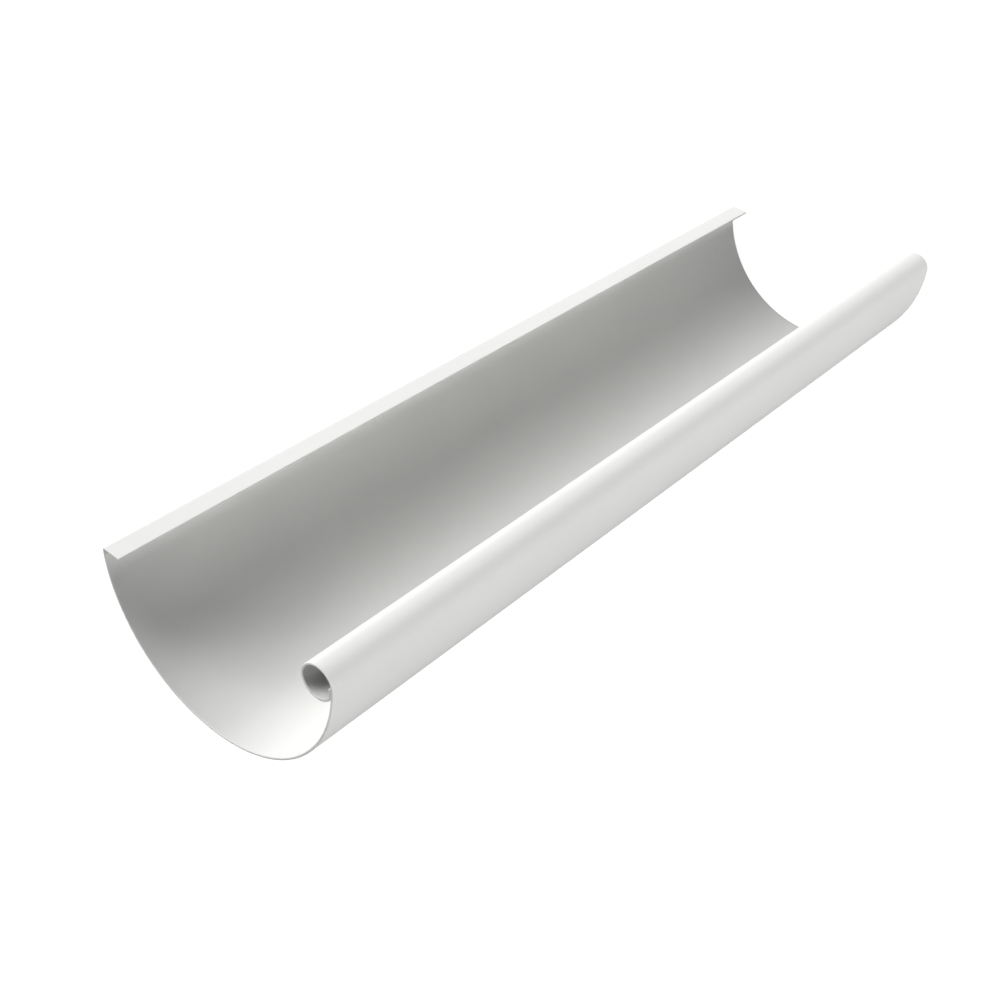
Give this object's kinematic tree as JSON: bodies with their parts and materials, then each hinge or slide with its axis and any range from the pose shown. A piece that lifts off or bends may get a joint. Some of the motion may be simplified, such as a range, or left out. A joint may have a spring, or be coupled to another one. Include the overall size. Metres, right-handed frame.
{
  "type": "half-round gutter section",
  "caption": "Half-round eaves gutter length in white coated sheet metal, with a rolled front bead and a short back flange.",
  "frame": {"origin": "on the floor, under the middle of the width and of the depth, with the gutter standing on one square cut end", "axes": "+Z up along the gutter, -X towards the rolled front bead, +X towards the back flange, -Y out of the open trough; the gutter hangs with -Y up"},
  "size_m": [0.1248, 0.0664, 0.457],
  "materials": {
    "white_coating": "satin white coat over sheet metal, carried round the cut edges"
  },
  "bodies": {
    "root": {"gutter_section": "white_coating"}
  },
  "joints": []
}
